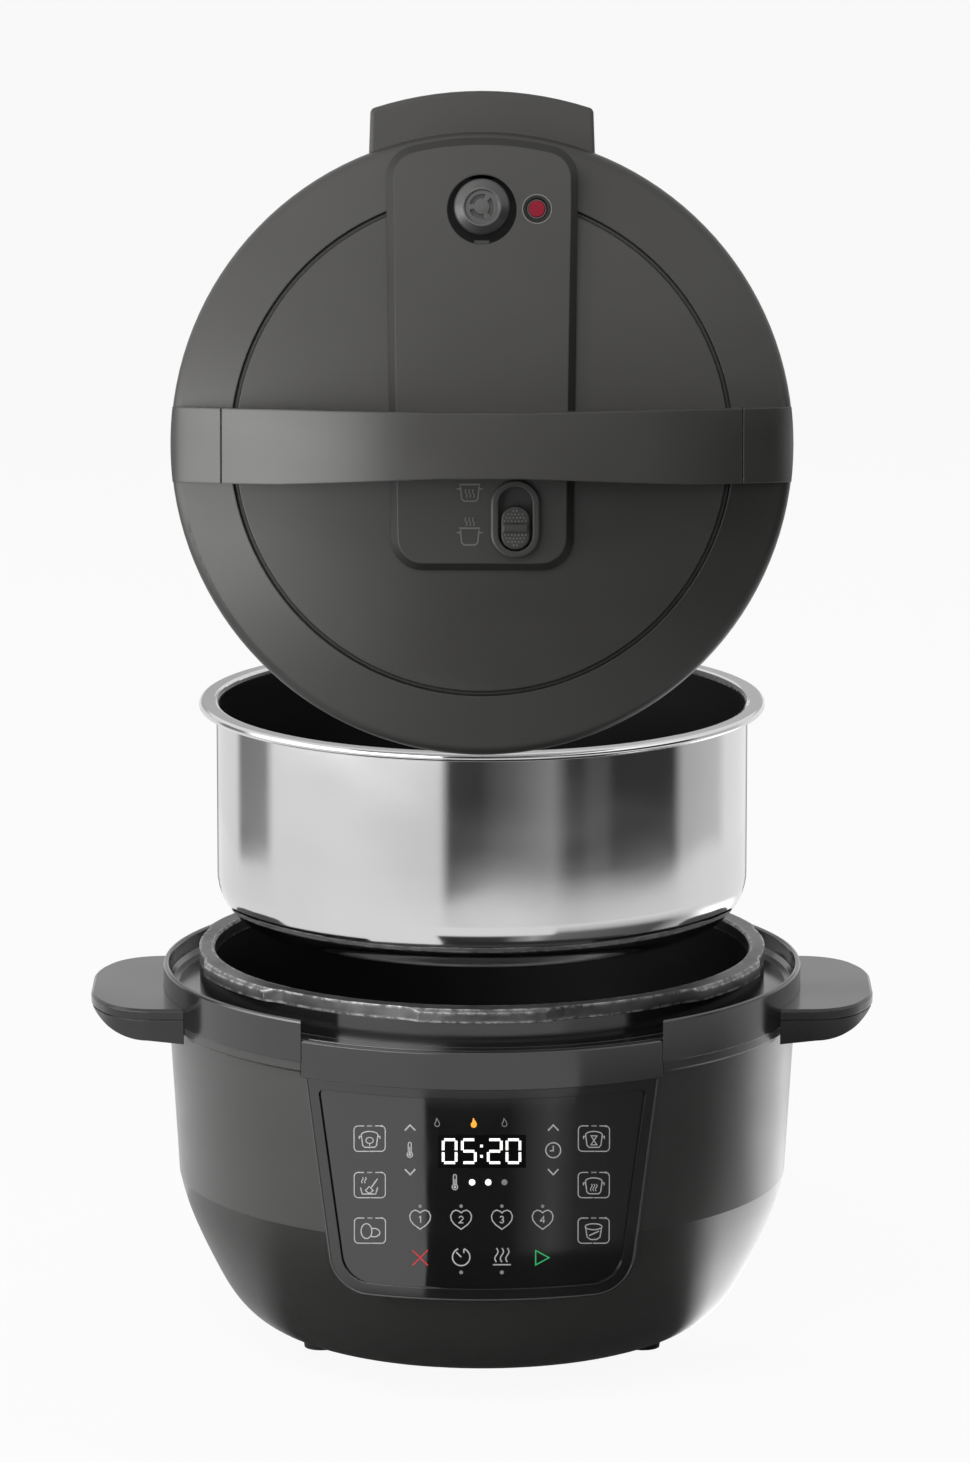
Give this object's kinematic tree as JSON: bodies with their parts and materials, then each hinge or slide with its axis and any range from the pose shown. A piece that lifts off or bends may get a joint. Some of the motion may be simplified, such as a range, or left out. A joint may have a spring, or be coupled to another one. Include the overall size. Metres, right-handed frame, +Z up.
{
  "type": "electric pressure cooker",
  "caption": "Wide electric pressure cooker shown opened up: round base with touch panel and side grips, lifted steel pot, domed bayonet lid with handle, steam valve and release switch.",
  "frame": {"origin": "on the floor under the centre of the base, between the feet", "axes": "+Z up, -Y towards the control panel, +X to the right as seen from the panel"},
  "size_m": [0.406, 0.3875, 0.6692],
  "materials": {
    "body_grey": "satin dark grey",
    "gloss_black": "gloss black",
    "lid_grey": "matte warm dark grey",
    "dark_plastic": "matte black",
    "cast_grey": "satin cast",
    "liner_dark": "dark enamel",
    "heater": "machined",
    "steel": "polished",
    "glass": "dark printed glass",
    "board": "circuit board",
    "silicone": "silicone",
    "red": "red",
    "rubber": "foot rubber"
  },
  "bodies": {
    "base": {"housing": "body_grey", "upper_ring": "gloss_black", "front_strip": "gloss_black", "bayonet_flange": "cast_grey", "liner": "liner_dark", "heater_plate": "heater", "heater_legs": "steel", "sensor_holder": "steel", "bottom_cover": "dark_plastic", "feet": "rubber", "handle_left": "gloss_black", "handle_right": "gloss_black", "panel_bezel": "gloss_black", "touch_glass": "glass", "display_module": "dark_plastic", "control_board": "board", "power_board": "board", "power_inlet": "dark_plastic"},
    "sensor": {"sensor_button": "heater"},
    "pot": {"inner_pot": "steel"},
    "seal": {"sealing_ring": "silicone", "ring_rack": "steel"},
    "lid": {"lid_cover": "lid_grey", "lid_spine": "lid_grey", "lid_handle": "lid_grey", "handle_caps": "lid_grey", "inner_lid": "steel", "lid_post": "dark_plastic", "steam_pipe": "steel", "anti_block_shield": "steel", "float_bushing": "dark_plastic", "release_bezel": "lid_grey"},
    "steam_valve": {"steam_knob": "dark_plastic"},
    "float_valve": {"float_pin": "red", "float_cap": "silicone"},
    "quick_release": {"release_slider": "dark_plastic"}
  },
  "joints": [
    {"name": "pot_lift", "type": "slide", "parent": "base", "child": "pot", "axis": [0, 0, 1], "range_m": [-0.126, 0]},
    {"name": "lid_tilt", "type": "hinge", "parent": "pot", "child": "seal", "pos_m": [0, -0.1685, 0.328], "axis": [1, 0, 0], "range_deg": [-82, 0]},
    {"name": "lid_turn", "type": "hinge", "parent": "seal", "child": "lid", "pos_m": [0, -0.1601, 0.49698], "axis": [0, -0.9903, 0.1392], "range_deg": [-30, 0]},
    {"name": "quick_release", "type": "slide", "parent": "lid", "child": "quick_release", "axis": [0, 0.1392, 0.9903], "range_m": [0, 0.008]},
    {"name": "steam_valve_lift", "type": "slide", "parent": "lid", "child": "steam_valve", "axis": [0, -0.9903, 0.1392], "range_m": [-0.0025, 0]},
    {"name": "float_valve_rise", "type": "slide", "parent": "lid", "child": "float_valve", "axis": [0, -0.9903, 0.1392], "range_m": [0, 0.004]},
    {"name": "sensor_press", "type": "slide", "parent": "base", "child": "sensor", "axis": [0, 0, 1], "range_m": [-0.003, 0], "stiffness_N_per_m": 400, "springref_m": 0.004}
  ],
  "couplings": [
    {"joint": "steam_valve_lift", "follows": "quick_release", "ratio": -0.3125}
  ]
}
